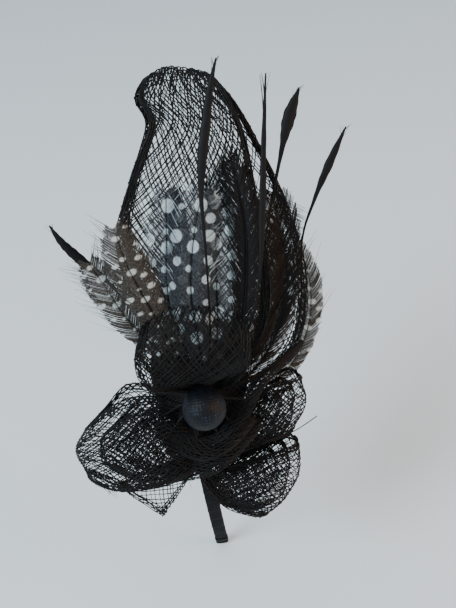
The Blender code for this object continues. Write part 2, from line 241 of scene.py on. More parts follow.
class Sheet:
    # a strip of sinamay: where a point of the flat cloth lies on the shaped piece
    def __init__(self, spec, shrink=1.0):
        self.root = np.array(spec["root"], float)
        self.shrink = shrink
        self.lefts = [left for left, _, _ in spec["sections"]]
        self.rights = [right for _, right, _ in spec["sections"]]
        self.crowns = [(crown,) for _, _, crown in spec["sections"]]
        self.hem, self.turns = spec["hem"], spec["turns"]
        self.pleat, self.ripple = spec["pleat"], spec["ripple"]
        fine = np.linspace(0, 1, 240)
        left, right = blendRows(self.lefts, fine), blendRows(self.rights, fine)
        runs = np.linalg.norm(np.diff((left + right) / 2, axis=0), axis=1) * shrink
        self.fine, self.runs = fine, np.concatenate([[0], np.cumsum(runs)])
        self.length = self.runs[-1]
        self.width = np.linalg.norm(right - left, axis=1).max() * shrink
        self.halfCut = self.width / 2 + self.turns * self.hem
        self.rng = np.random.default_rng(spec["seed"] + int(100 * shrink))
        self.waves = self.rng.uniform(-1, 1, (5, 2))
        self.phases = self.rng.uniform(0, 2 * math.pi, 5)

    def place(self, a, b, lift):
        # a along the cloth from its first root, b from its middle line, lift off its outer side
        along = np.interp(a, self.runs, self.fine)
        layer = np.maximum(np.abs(b) - self.width / 2, 0) / self.hem
        inside = self.hem * (1 - np.abs(1 - layer % 2))
        across = np.sign(b) * (np.minimum(np.abs(b), self.width / 2) - inside) / (self.width / 2)
        left, right = blendRows(self.lefts, along), blendRows(self.rights, along)
        ahead, behind = np.minimum(along + 0.004, 1), np.maximum(along - 0.004, 0)
        run = blendRows(self.lefts, ahead) + blendRows(self.rights, ahead)
        run = run - blendRows(self.lefts, behind) - blendRows(self.rights, behind)
        proud = unit(np.cross(right - left, run))
        crown = blendRows(self.crowns, along)[..., 0] * (1 - across**2)
        rootward = np.minimum(a, self.length - a)
        folds = self.pleat * np.exp(-rootward / 14) * np.sin(across * 9 + self.phases[0])
        ripples = 0
        for (waveA, waveB), phase in zip(self.waves, self.phases):
            ripples = ripples + self.ripple * np.sin(waveA * a / 5 + waveB * across * 6 + phase)
        height = crown + folds + ripples + lift - 0.4 * layer
        place = (left + right) / 2 + (right - left) / 2 * across[..., None]
        return self.root + (place - self.root) * self.shrink + proud * height[..., None]


class Roll:
    # a strip of sinamay rolled up lengthwise like a cord, its spiral round a bent middle line
    def __init__(self, spec):
        self.path, self.shrink = spec["path"], 1.0
        self.thick = [(thick,) for thick in spec["thick"]]
        self.rounds, self.flatness = spec["rounds"], spec["flatness"]
        fine = np.linspace(0, 1, 200)
        self.fine, self.runs = fine, runLengths(blendRows(self.path, fine))
        self.length = self.runs[-1]
        self.width = 2 * math.pi * self.rounds * 0.65 * max(spec["thick"])
        self.halfCut = self.width / 2
        self.rng = np.random.default_rng(spec["seed"])

    def place(self, a, b, lift):
        along = np.interp(a, self.runs, self.fine)
        part = b / self.width + 0.5
        angle = 2 * math.pi * self.rounds * np.sqrt(part) + a / 9
        run = heading(self.path, along)
        side = unit(np.cross(run, np.array([0.0, 1.0, 0.0])))
        proud = np.cross(side, run)
        radius = blendRows(self.thick, along)[..., 0] * (0.3 + 0.7 * part) + lift
        wide, deep = radius * np.cos(angle), radius * np.sin(angle) * self.flatness
        return blendRows(self.path, along) + side * wide[..., None] + proud * deep[..., None]


class Ruffle:
    # a strip gathered into a pleated ring behind the button
    def __init__(self, spec):
        self.middle, self.inner = np.array(spec["middle"], float), spec["inner"]
        self.shrink = 1.0
        self.width, self.length = spec["reach"], spec["length"]
        self.pleats, self.depth = spec["pleats"], spec["depth"]
        self.halfCut = self.width / 2
        self.rng = np.random.default_rng(spec["seed"])

    def place(self, a, b, lift):
        angle = 2 * math.pi * a / self.length
        part = b / self.width + 0.5
        radius = self.inner + part * self.width * (1 + 0.12 * np.sin(3 * angle + 1))
        fold = self.pleats * angle + 0.8 * np.sin(5 * angle)
        swing = self.depth * part * np.sin(fold)
        turn = angle + 0.5 * self.depth * part * np.cos(fold) / radius
        out = swing - 0.25 * radius + lift
        ring = np.stack([radius * np.cos(turn), out, radius * np.sin(turn)], axis=-1)
        return self.middle + ring


def weaveLines(sheet, spec):
    # threads of both directions of the bias-cut weave, over and under at each crossing
    gap, rng, halfCut = spec["gap"], sheet.rng, sheet.halfCut
    slope = math.radians(spec["bias"] + 80 * (1 - sheet.shrink))  # each ply lies on its own bias
    lines, radii = [], []
    for hand in (1, -1):
        run = np.array([math.cos(slope), hand * math.sin(slope)])
        square = np.array([-hand * math.sin(slope), math.cos(slope)])
        corners = [(a, b) for a in (0, sheet.length) for b in (-halfCut, halfCut)]
        offsets = [np.dot(square, corner) for corner in corners]
        reaches = [np.dot(run, corner) for corner in corners]
        for number in range(math.ceil(min(offsets) / gap), math.floor(max(offsets) / gap) + 1):
            if rng.random() < spec["missing"]:
                continue
            steps = np.arange(math.floor(min(reaches) / gap), math.ceil(max(reaches) / gap) + 1)
            drift = rng.normal(0, 0.16) * gap + 0.12 * gap * np.sin(steps / 7 + rng.uniform(0, 6))
            spots = steps[:, None] * gap * run + (number * gap + drift)[:, None] * square
            inside = (spots[:, 0] >= 0) & (spots[:, 0] <= sheet.length)
            inside &= abs(spots[:, 1]) <= halfCut
            if inside.sum() < 4:
                continue
            rise = hand * 0.14 * (-1.0) ** (steps + number)
            places = sheet.place(spots[inside, 0], spots[inside, 1], rise[inside])
            lines.append(trimPlace(places))
            radii.append(rng.uniform(0.72, 1.25) * (1 + rng.normal(0, 0.1, inside.sum())))
    return lines, radii


def selvedgeLines(sheet, spec):
    # the close-packed threads of the cloth's edge, rolled in along both hems
    lines, radii = [], []
    for number in range(2 * spec["selvedge"]):
        hand = 1 if number % 2 else -1
        depth = (number // 2) / max(spec["selvedge"] - 1, 1)
        a = np.linspace(0, sheet.length, 90)
        wander = 0.25 * np.sin(a / 6 + number * 1.7) + 0.12 * np.sin(a / 2.1 + number)
        b = hand * (sheet.width / 2 - depth * sheet.hem - 0.3 + wander)
        b = np.clip(b, -sheet.width / 2, sheet.width / 2)
        lines.append(trimPlace(sheet.place(a, b, 0.3 * np.sin(a / 3 + number))))
        radii.append(sheet.rng.uniform(0.8, 1.2))
    for part in spec.get("creases", ()):
        # threads that lie along the top of a pressed fold
        b = np.linspace(-0.5, 0.5, 60) * sheet.width
        a = np.interp(part, sheet.fine, sheet.runs) + 0.3 * np.sin(b / 3 + part * 90)
        lines.append(trimPlace(sheet.place(a, b, 0.15 * np.sin(b + part * 60))))
        radii.append(1.0)
    for number in range(spec.get("endHem", 0)):
        b = np.linspace(-0.5, 0.5, 50) * sheet.width
        a = sheet.length - 0.4 * number - 0.3 + 0.25 * np.sin(b / 3 + number * 1.7)
        a = np.minimum(a, sheet.length)
        lines.append(trimPlace(sheet.place(a, b, 0.3 * np.sin(b + number))))
        radii.append(sheet.rng.uniform(0.8, 1.2))
    return lines, radii


def wispLines(sheet, count):
    # loose fibre ends that stand off the cloth's edges
    lines, radii = [], []
    for _ in range(count):
        a = sheet.rng.uniform(0.15, 0.85) * sheet.length
        edge = sheet.rng.choice([-1, 1]) * sheet.width / 2
        length = sheet.rng.uniform(2, 6)
        steps = np.linspace(0, 1, 6)
        slide = sheet.rng.uniform(-0.8, 0.8) * length
        base = sheet.place(a + steps * slide, np.full(6, edge) * 0.97, steps**2 * length * 0.4)
        outer, inner = (
            sheet.place(np.array([a]), np.array([edge * part]), np.zeros(1)) for part in (1.0, 0.5))
        aside = unit(outer - inner)
        lines.append(trimPlace(base + aside * (steps * length)[:, None]))
        radii.append(0.55 - 0.4 * steps)
    return lines, radii


def makeSheet(name, node, spec, shapes):
    # one mesh of threads for all the plies of a folded strip, and one for its edges
    lines, radii, edgeLines, edgeRadii = [], [], [], []
    for shape in shapes:
        plyLines, plyRadii = weaveLines(shape, spec)
        lines, radii = lines + plyLines, radii + plyRadii
        plyLines, plyRadii = selvedgeLines(shape, spec)
        edgeLines, edgeRadii = edgeLines + plyLines, edgeRadii + plyRadii
    plyLines, plyRadii = wispLines(shapes[0], spec["wisps"])
    edgeLines, edgeRadii = edgeLines + plyLines, edgeRadii + plyRadii
    piece = tubes(name, lines, radii, spec["fibre"], sinamayFibre)
    keepPiece(piece, (node,))
    if edgeLines:
        edging = tubes(name + "Edge", edgeLines, edgeRadii, spec["fibre"], sinamayFibre)
        keepPiece(edging, (node,))
    return piece


# What the sheets share. Lengths are in mm: gap from thread to thread, fibre across a thread.
# A section is the left edge and the right edge as (x, out, up), and how far its middle bulges.
loopBase = {
    "turns": 2, "ripple": 0.25, "missing": 0.02, "wisps": 2, "plies": (1.0,), "held": "gathered",
    "restsOn": ["root_binding"]}
tallLoop = {
    **loopBase, "seed": 3, "gap": 2.05, "bias": 42, "fibre": 0.38, "hem": 3.8, "turns": 3,
    "pleat": 1.0, "selvedge": 9, "ripple": 0.14, "wisps": 0, "held": "folded",
    "creases": (0.53, 0.545, 0.56, 0.575, 0.59), "root": (4, 14, -6),
    "sections": [
        ((0, 6.0, -7), (7, 6.0, -8), 0),
        ((-7, 6.2, 11), (28, 5.6, -1), 0),
        ((-15, 6.6, 33), (40, 5.6, 10), 0),
        ((-15, 8.4, 51), (44, 7.2, 30), 0),
        ((-8, 12, 67), (41, 9.5, 50), 1),
        ((0, 15, 82), (34, 13, 71), 1),
        ((-2, 17, 90), (28, 16, 85), 2),
        ((2, 20, 95), (22, 19.5, 93), 3),
        ((0, 24, 89), (24, 24, 89), 2),
        ((2, 26, 81), (28.5, 26, 76), 1),
        ((-6, 26, 67), (30, 25.5, 56), 1),
        ((-11, 25, 52), (31, 23.5, 33), 0),
        ((-7, 22, 25), (26, 17.5, 13), 0),
        ((1, 15.6, 0), (9, 15.6, -1), 0),
    ],
}
upperPetal = {
    **loopBase, "seed": 5, "gap": 1.2, "bias": 45, "fibre": 0.31, "hem": 2.4, "pleat": 0.8,
    "selvedge": 6, "ripple": 0.2, "restsOn": ["centre_knot"], "root": (6.5, 27, 2),
    "sections": [
        ((4, 26.4, 2.6), (9, 26.4, 2.6), 0),
        ((-5, 31.6, 7), (17, 31, 5), 0),
        ((-11, 34.6, 17), (22, 34, 13), 0),
        ((-8, 37, 26), (20, 37, 23), 5),
        ((-9, 41, 24), (22, 41, 20), 6),
        ((-11, 42.5, 17), (20, 43, 13), 2),
        ((-8.5, 36.5, 8), (15, 37.5, 8), 1),
        ((4.5, 28.6, 4.6), (9, 28.6, 4.6), 0),
    ],
}
leftLoop = {
    **loopBase, "seed": 8, "gap": 1.5, "bias": 38, "fibre": 0.34, "hem": 3.0, "turns": 1,
    "pleat": 1.0, "selvedge": 7, "ripple": 0.35, "wisps": 16,
    "root": (2, 17, -18), "plies": (1.0, 0.8, 0.62),
    "sections": [
        ((2, 9.5, -17), (1.5, 9.5, -26), 0),
        ((-8, 9, -2), (-10.5, 9, -34), 0),
        ((-19, 9, 2.5), (-24, 9, -35), -1),
        ((-28, 11, -4.5), (-32, 11, -29.5), -3),
        ((-33, 15.5, -8), (-34.5, 15.5, -24.5), -3),
        ((-29, 21, -4), (-32, 21, -25.5), -5),
        ((-18, 24.5, 2), (-23, 24.5, -28), -4),
        ((-7, 26, 1), (-9.5, 26, -27), -2),
        ((2, 24, -10.5), (2, 24, -24), 0),
    ],
}
leftTail = {
    **loopBase, "seed": 13, "gap": 1.35, "bias": 52, "fibre": 0.32, "hem": 2.2, "turns": 1,
    "pleat": 0.5, "selvedge": 6, "missing": 0.04, "wisps": 3, "endHem": 6, "root": (0, 5, -28),
    "sections": [
        ((-3, 5, -26), (0, 5, -30), 0),
        ((-17, 5.5, -29.5), (-7.5, 6.5, -38.5), 0),
        ((-30.5, 7.5, -32.5), (-15, 8, -46.5), 0),
    ],
}
rightLoopUpper = {
    **loopBase, "seed": 21, "gap": 1.4, "bias": 45, "fibre": 0.35, "hem": 1.6, "pleat": 0.8,
    "selvedge": 3, "root": (7, 13, -22), "plies": (1.0, 0.88, 0.74),
    "sections": [
        ((6.5, 8, -22), (4.5, 8, -30), 0),
        ((19, 6.2, -9), (16.7, 6.2, -29), 0),
        ((32.5, 6.2, -0.5), (28, 6.2, -26), 0),
        ((37, 11, -2), (32.5, 11, -21), 2),
        ((35, 16, -1.5), (29, 16, -21), 2),
        ((23.5, 19.2, -3.5), (18.5, 19.2, -22), 1),
        ((10.5, 19, -14), (7, 19, -25), 0),
    ],
}
rightLoopLower = {
    **loopBase, "seed": 34, "gap": 1.4, "bias": 45, "fibre": 0.35, "hem": 1.8, "pleat": 0.6,
    "selvedge": 4, "root": (4, 9, -33), "plies": (1.0, 0.86, 0.7),
    "sections": [
        ((6, 3.4, -32), (0.5, 3.4, -36.5), 0),
        ((20, 3.4, -28), (4, 3.4, -46), 0),
        ((30, 3.8, -24.5), (12.5, 4, -51), 0),
        ((33.5, 9, -24), (18.5, 10, -50), 5),
        ((31, 13.5, -25), (15, 15.5, -47), 5),
        ((18.5, 15, -27), (6, 16.5, -41), 1),
        ((8, 14, -29), (0.5, 15, -32), 0),
    ],
}
for name, node, spec in (
        ("tallLoopNet", "tall_loop", tallLoop),
        ("upperPetalNet", "upper_petal", upperPetal),
        ("leftLoopNet", "left_loop", leftLoop),
        ("leftTailNet", "left_tail", leftTail),
        ("rightLoopUpperNet", "right_loop_upper", rightLoopUpper),
        ("rightLoopLowerNet", "right_loop_lower", rightLoopLower)):
    makeSheet(name, node, spec, [Sheet(spec, shrink) for shrink in spec["plies"]])

# one stiff thread end has sprung out between the two right loops
strayPath = [(20, 16, -22), (27, 15, -21), (33.3, 15, -19.4), (40.4, 17, -14.9)]
strayLine = trimPlace(blendRows(strayPath, np.linspace(0, 1, 14)))
strayEnd = tubes("strayEnd", [strayLine], [1.0], 0.4, sinamayFibre)
keepPiece(strayEnd)

# the sash is rolled up and climbs to the right; three more rolls and a pleated ring make the knot
rollBase = {
    "gap": 1.15, "bias": 25, "fibre": 0.32, "selvedge": 0, "missing": 0.0, "wisps": 2,
    "held": "folded", "restsOn": ["root_binding"]}
sideSash = {
    **rollBase, "seed": 55, "bias": 22, "fibre": 0.3, "wisps": 0, "rounds": 2.2, "flatness": 0.55,
    "thick": (2.4, 3.0, 2.8, 2.4, 2.2, 1.8, 0.8), "restsOn": ["centre_knot"],
    "path": [
        (8, 27, -16), (13, 27.5, -10.7), (18, 27, -4.5), (22.5, 26, 1.2), (28, 24, 4.9),
        (33.6, 21, 7.2), (39, 17, 10.6)],
}
knotBelow = {
    **rollBase, "seed": 56, "rounds": 2.4, "flatness": 0.75, "thick": (2.5, 4.4, 5.0, 4.4, 2.4),
    "path": [(-10, 23, -8), (-3, 25, -13.5), (5, 26, -16.5), (13, 25, -13.5), (20, 22, -10)],
}
knotAcross = {
    **rollBase, "seed": 57, "rounds": 2.2, "flatness": 0.8, "thick": (2.0, 4.0, 4.5, 4.0, 2.6),
    "path": [(-9, 18, -29), (-1, 22.5, -24.5), (6, 24, -21.5), (14, 23, -17), (22, 20.5, -12)],
}
knotBehind = {
    **rollBase, "seed": 59, "wisps": 0, "rounds": 2.6, "flatness": 1.0,
    "thick": (3.0, 5.2, 5.2, 3.5),
    "path": [(-9, 13, -19), (-1, 16, -20.5), (7, 16.5, -21), (15, 13, -18)],
}
ruffle = {
    **rollBase, "seed": 58, "gap": 1.25, "bias": 45, "wisps": 0, "middle": (5, 29.5, 1.5),
    "inner": 3.0, "reach": 13.5, "length": 135.0, "pleats": 13, "depth": 2.2, "held": "gathered",
}
for name, node, spec in (
        ("sideSashRoll", "side_sash", sideSash),
        ("knotRollBelow", "centre_knot", knotBelow),
        ("knotRollAcross", "centre_knot", knotAcross),
        ("knotRollBehind", "centre_knot", knotBehind)):
    makeSheet(name, node, spec, [Roll(spec)])
makeSheet("knotRuffle", "centre_knot", ruffle, [Ruffle(ruffle)])
print("sinamay woven")


# Guinea-fowl body feathers: pale round spots in staggered rows on a dark ground that is finely
# flecked with grey, matt, the spots a little ragged where barbs part.
def makeGuineaVane(name, look):
    material, shader = startMaterial(name, {"Roughness": 0.75, "IOR": 1.54})
    work = partial(mathNode, material)
    uv = addNode(material, "ShaderNodeUVMap", uv_map="vane")
    split = addNode(material, "ShaderNodeSeparateXYZ", links={"Vector": uv.outputs[0]})
    # the map holds 100 mm to one; the rows run along the quill, every other one half a step on
    station = work("MULTIPLY", split.outputs[0], 100.0)
    lateral = work("MULTIPLY_ADD", split.outputs[1], 100.0, -50.0)
    row = work("MULTIPLY_ADD", lateral, 1 / look["across"], 20.5)
    rowNumber = work("FLOOR", row)
    stagger = work("MULTIPLY", work("MODULO", rowNumber, 2.0), 0.5)
    cell = work("MULTIPLY_ADD", station, 1 / look["pitch"], stagger)
    cellNumber = work("FLOOR", cell)
    place = addNode(material, "ShaderNodeCombineXYZ", links={"X": cellNumber, "Y": rowNumber})
    chance = addNode(material, "ShaderNodeTexWhiteNoise", links={"Vector": place.outputs[0]},
                     noise_dimensions="2D")
    shift = addNode(material, "ShaderNodeSeparateColor", links={"Color": chance.outputs["Color"]})
    offAlong = work("MULTIPLY_ADD", shift.outputs[0], 0.4, -0.7)
    offAcross = work("MULTIPLY_ADD", shift.outputs[1], 0.36, -0.68)
    along = work("ADD", work("FRACT", cell), offAlong)
    across = work("ADD", work("FRACT", row), offAcross)
    along = work("MULTIPLY", along, look["pitch"])
    across = work("MULTIPLY", across, look["across"] / look["oval"])
    square = work("MULTIPLY_ADD", along, along, work("MULTIPLY", across, across))
    distance = work("SQRT", square)
    fray = addNode(material, "ShaderNodeTexNoise", {"Scale": 300.0, "Detail": 2.0},
                   {"Vector": uv.outputs[0]})
    ragged = work("MULTIPLY_ADD", fray.outputs["Fac"], 0.9, distance)
    size = work("MULTIPLY_ADD", shift.outputs[2], 0.7 * look["spot"], 0.55 * look["spot"] + 0.45)
    inSpot = mapRange(material, work("SUBTRACT", size, ragged), 0.0, 0.28)
    flecks = addNode(material, "ShaderNodeTexNoise", {
        "Scale": 170.0, "Detail": 3.0, "Roughness": 0.75}, {"Vector": uv.outputs[0]})
    fleck = mapRange(material, flecks.outputs["Fac"], 0.46, 0.64)
    ground = mixColour(material, fleck, hexColour(look["ground"]), hexColour(look["fleck"]))
    spotted = mixColour(material, inSpot, ground, hexColour(look["pale"]))
    return feed(material, shader, colour=spotted)


# Dyed cock hackle and stripped quill: near black with a blue-green cast at the edge of the light.
def makeHackleVane(name, low, high):
    material, shader = startMaterial(name, {
        "Roughness": 0.55, "IOR": 1.5, "Specular IOR Level": 0.2, "Sheen Weight": 0.03,
        "Sheen Roughness": 0.4, "Sheen Tint": hexColour("#5d6b78")})
    tone = objectNoise(material, 4 * mm, Detail=3.0)
    return feed(material, shader, colour=mixColour(material, tone, hexColour(low), hexColour(high)))


brownGuinea = makeGuineaVane("guineaFowlBrownVane", {
    "ground": "#1d1914", "fleck": "#4f473b", "pale": "#b9bdb8",
    "pitch": 4.8, "across": 3.7, "spot": 0.85, "oval": 1.6})
greyGuinea = makeGuineaVane("guineaFowlGreyVane", {
    "ground": "#0f1114", "fleck": "#474f58", "pale": "#bccacd",
    "pitch": 6.6, "across": 4.6, "spot": 1.75, "oval": 0.9})
blackVane = makeHackleVane("dyedHackle", "#030304", "#0b0a0c")
brownVane = makeHackleVane("brownHackle", "#080605", "#2b2118")


class Vane:
    # a feather's flat: station along the quill and lateral out from it, both in millimetres
    def __init__(self, spec):
        self.spine = np.array([row[:3] for row in spec["spine"]], float)
        self.widths = np.array([row[3:] for row in spec["spine"]], float)
        self.fine = np.linspace(0, 1, 200)
        self.runs = runLengths(blendRows(self.spine, self.fine))
        self.length = self.runs[-1]
        self.roll, self.cup = math.radians(spec["roll"]), spec["cup"]

    def half(self, station):
        return np.interp(station, self.runs, blendRows(self.widths, self.fine)[:, 0])

    def place(self, station, lateral, lift):
        along = np.interp(station, self.runs, self.fine)
        run = heading(self.spine, along)
        facing = np.array([math.sin(self.roll), math.cos(self.roll), 0.0])
        side = unit(np.cross(run, np.broadcast_to(facing, run.shape)))
        proud = unit(np.cross(side, run))
        height = lift - self.cup * (lateral / self.widths.max()) ** 2
        beyond = np.maximum(station - self.length, 0)
        place = blendRows(self.spine, along) + run * beyond[:, None]
        return place + side * lateral[:, None] + proud * height[:, None]


def makeVane(name, spec, material):
    # barbs are every other column of a grid, swept out from the quill on each side of it
    rng = np.random.default_rng(spec["seed"])
    vane = Vane(spec)
    barbs = int((1 - spec["bare"]) * vane.length / spec["barbGap"])
    bm = bmesh.new()
    bmesh.ops.create_grid(bm, x_segments=4 * barbs - 1, y_segments=6, size=1.0)
    last = 4 * barbs - 1
    gaps = [f for f in bm.faces if round((f.calc_center_median().x + 1) / 2 * last - 0.5) % 2]
    bmesh.ops.delete(bm, geom=gaps, context="FACES")
    mesh = meshFrom(name, bm)
    flat = np.zeros(len(mesh.vertices) * 3, np.float32)
    mesh.vertices.foreach_get("co", flat)
    flat = flat.reshape(-1, 3).astype(float)
    column = np.rint((flat[:, 0] + 1) / 2 * last).astype(int)
    reach = (flat[:, 1] + 1) / 2
    barb, edge = column // 2, column % 2 - 0.5
    hand = np.where(barb < barbs, -1.0, 1.0)
    part = (np.where(barb < barbs, barb, barb - barbs) + 0.5) / barbs
    root = (spec["bare"] + part * (1 - spec["bare"])) * vane.length
    clump = np.convolve(rng.normal(0, 1, 2 * barbs + 8), np.ones(5) / 5, "valid")[:2 * barbs]
    stretch = rng.uniform(0.9, 1.06, 2 * barbs)
    sweep = math.tan(math.radians(90 - spec["barbAngle"]))
    lateral = reach * vane.half(root) * stretch[barb]
    forward = lateral * sweep * (0.75 + 0.25 * reach) + clump[barb] * reach * spec["ragged"]
    station = root + forward + edge * spec["barbGap"] * spec["full"] * (1 - spec["thin"] * reach)
    lift = rng.normal(0, 0.12, 2 * barbs)[barb] * reach
    place = vane.place(station, hand * lateral, lift)
    mesh.vertices.foreach_set("co", trimPlace(place).astype(np.float32).ravel())
    corner = np.zeros(len(mesh.loops), np.int32)
    mesh.loops.foreach_get("vertex_index", corner)
    spread = np.stack([station / 100, hand * lateral / 100 + 0.5], axis=1)[corner]
    mesh.uv_layers.new(name="vane").data.foreach_set("uv", spread.astype(np.float32).ravel())
    mesh.shade_smooth()
    piece = linkPiece(name, mesh, material)
    thicken(piece, "barbThickness", 0.12)
    return piece, vane


def fringeLines(vane, spec):
    # loose hair-fine barb ends round the tip
    rng = np.random.default_rng(spec["seed"] + 70)
    lines, radii = [], []
    for _ in range(spec["fringe"]):
        steps = np.linspace(0, 1, 6)
        root = rng.uniform(0.45, 1.0) * vane.length
        hand = rng.choice([-1, 1])
        half = vane.half(root) * 0.7
        length = rng.uniform(2.5, 9)
        lateral = hand * (half + steps * length * rng.uniform(0.35, 0.8))
        station = root + half * 0.8 + steps * length * rng.uniform(0.5, 1.0)
        lines.append(trimPlace(vane.place(station, lateral, steps**2 * rng.normal(0, 1.2))))
        radii.append(1 - 0.75 * steps)
    return lines, radii


def makeFeather(name, node, spec, material):
    piece, vane = makeVane(name + "Vane", spec, material)
    stations = np.linspace(0, vane.length, 26)
    quillLine = trimPlace(vane.place(stations, np.zeros(26), np.full(26, 0.15)))
    taper = np.linspace(1, 0.2, 26)
    quill = tubes(name + "Quill", [quillLine], [taper], spec["quill"], blackVane, 1)
    keepPiece(piece, (node,))
    keepPiece(quill, (node,))
    lines, radii = fringeLines(vane, spec)
    if lines:
        keepPiece(tubes(name + "Fringe", lines, radii, 0.16, material), (node,))


# A spine's rows are (x, out, up, half width), from the root to the tip, in mm.
guineaBase = {
    "full": 0.9, "thin": 0.15, "fringe": 130, "barbGap": 0.42, "barbAngle": 42, "bare": 0.12,
    "ragged": 0.6, "roll": 0, "cup": 1.5, "quill": 0.35}
greyBase = {
    **guineaBase, "thin": 0.55, "fringe": 30, "barbAngle": 40, "bare": 0.1, "ragged": 0.5, "cup": 2}
guineaLeft = {
    **guineaBase, "seed": 1, "roll": 8, "spine": [
        (1.5, 22.4, 3, 0.6), (-1, 26.5, 16, 4), (-6, 30, 31, 6), (-10, 31, 43, 5.6),
        (-12, 31, 54, 2)],
}
guineaSide = {
    **guineaBase, "seed": 2, "roll": 14, "spine": [
        (0, 21.4, 5, 0.6), (-6, 24.4, 16, 3.6), (-13, 27.6, 27, 5), (-17, 28.6, 36, 5),
        (-21, 29, 45, 2)],
}
guineaCenter = {
    **greyBase, "seed": 3, "spine": [
        (7, 24, 3.5, 0.8), (7, 29, 18, 5.5), (7, 31, 33, 7.5), (10, 31, 48, 7), (14, 30.4, 60, 3)],
}
guineaBehind = {
    **greyBase, "seed": 8, "thin": 0.45, "ragged": 0.6, "roll": 4, "cup": 1.5, "spine": [
        (5, 22, 4, 0.6), (1, 25.5, 19, 5), (0, 27.5, 33, 6.5), (2, 28, 48, 5.5), (4, 28, 62, 2.4)],
}
guineaInner = {
    **greyBase, "seed": 4, "roll": -6, "spine": [
        (10, 22.2, 3, 0.6), (13, 26, 20, 4.5), (15, 28.2, 37, 6), (16.5, 28.6, 51, 5),
        (17, 28.2, 60, 2)],
}
guineaRight = {
    **guineaBase, "seed": 5, "fringe": 24, "ragged": 0.5, "cup": 0.6, "spine": [
        (20, 3.6, -9, 0.6), (33, 3.2, -3, 3), (42, 2.8, 10, 4), (45, 2.2, 25, 4),
        (43, 2.0, 39, 1.5)],
}
hackleBase = {
    "full": 0.95, "thin": 0.25, "fringe": 20, "barbGap": 0.45, "barbAngle": 28, "bare": 0.1,
    "ragged": 1.4, "roll": 0, "cup": 1, "quill": 0.6}
hackleCenter = {
    **hackleBase, "seed": 6, "spine": [
        (9.5, 12, 0, 0.6), (19, 16.2, 20, 4), (24, 18, 41, 5), (25, 19, 58, 4),
        (24, 19.6, 71, 1.2)],
}
hackleRight = {
    **hackleBase, "seed": 7, "spine": [
        (13, 9.2, -1, 0.6), (26, 10.4, 11, 5), (34, 12, 27, 7), (36, 13, 44, 6), (35, 14, 57, 1.5)],
}
hackleLow = {
    **hackleBase, "seed": 9, "barbAngle": 24, "ragged": 1.2, "spine": [
        (4, 13.2, 3, 0.6), (10.5, 17.5, 25, 2.4), (12, 19.5, 42, 3.8), (15, 21, 54, 4),
        (22, 21.6, 68, 1.2)],
}
hackleFront = {
    **hackleBase, "seed": 18, "ragged": 2.0, "fringe": 10, "spine": [
        (12, 24, 3, 0.6), (20, 28.4, 20, 3.6), (24, 29.6, 38, 5), (25, 30, 52, 5),
        (24, 30, 67, 1.6)],
}
hackleInner = {
    **hackleBase, "seed": 16, "spine": [
        (13, 10, -4, 0.6), (22.7, 13, 9, 5), (28, 14.5, 25, 7), (29.8, 15.5, 41, 6),
        (30, 16.5, 56, 1.5)],
}
hackleOuter = {
    **hackleBase, "seed": 17, "spine": [
        (14, 8.5, -6, 0.6), (27.5, 9.5, 6.5, 4.5), (34.2, 10, 21, 4.6), (36.2, 10.5, 35, 3.4),
        (34.5, 11.5, 47, 1)],
}
for name, node, spec, material, slotName in (
        ("guineaLeft", "guinea_left", guineaLeft, brownGuinea, "guinea_feather"),
        ("guineaSide", "guinea_side", guineaSide, brownGuinea, "guinea_feather"),
        ("guineaCenter", "guinea_center", guineaCenter, greyGuinea, "guinea_feather"),
        ("guineaBehind", "guinea_center", guineaBehind, greyGuinea, "guinea_feather"),
        ("guineaInner", "guinea_inner", guineaInner, greyGuinea, "guinea_feather"),
        ("guineaRight", "guinea_right", guineaRight, brownGuinea, "guinea_feather"),
        ("hackleCenter", "hackle_center", hackleCenter, blackVane, "black_feather"),
        ("hackleFront", "hackle_center", hackleFront, blackVane, "black_feather"),
        ("hackleInner", "hackle_right", hackleInner, brownVane, "black_feather"),
        ("hackleOuter", "hackle_right", hackleOuter, brownVane, "black_feather"),
        ("hackleRight", "hackle_right", hackleRight, blackVane, "black_feather"),
        ("hackleLow", "hackle_low", hackleLow, blackVane, "black_feather")):
    makeFeather(name, node, spec, material)
print("feathers made")


def makeBlade(name, node, rows, hairs, seed):
    # a stripped quill with a narrow flat blade of barbs left at its end, and hairs at its tip
    rng = np.random.default_rng(seed)
    spine = np.array([row[:3] for row in rows], float)
    widths = np.array([row[3:] for row in rows], float)
    bm = bmesh.new()
    bmesh.ops.create_grid(bm, x_segments=70, y_segments=6, size=1.0)
    flat = np.array([vert.co[:2] for vert in bm.verts])
    along, across = (flat[:, 0] + 1) / 2, flat[:, 1]
    run = heading(spine, along)
    side = unit(np.cross(run, np.broadcast_to([0.0, 1.0, 0.0], run.shape)))
    proud = np.cross(side, run)
    half = blendRows(widths, along)[:, 0] * (1 + 0.06 * np.sin(along * 90 + across * 3))
    groove = half * 0.22 * (1 - across**2) + 0.05 * np.sin(along * 240 + np.abs(across) * 5)
    place = blendRows(spine, along) + side * (half * across)[:, None] + proud * groove[:, None]
    for vert, spot in zip(bm.verts, trimPlace(place)):
        vert.co = Vector(spot)
    mesh = meshFrom(name, bm)
    mesh.shade_smooth()
    piece = linkPiece(name, mesh, blackVane)
    thicken(piece, "bladeThickness", 0.35)
    keepPiece(piece, (node,))
    lines, radii = [], []
    for _ in range(hairs):
        steps = np.linspace(0, 1, 6)
        start = rng.uniform(0.8, 0.97)
        spots = blendRows(spine, start + steps * (1 - start) * 0.9)
        lean = rng.choice([-1, 1]) * rng.uniform(0.4, 2.0)
        spots = spots + np.stack([lean * steps**1.3, 0.4 * steps, steps * 0.6], axis=1)
        lines.append(trimPlace(spots))
        radii.append(1 - 0.7 * steps)
    keepPiece(tubes(name + "Hairs", lines, radii, 0.2, blackVane), (node,))


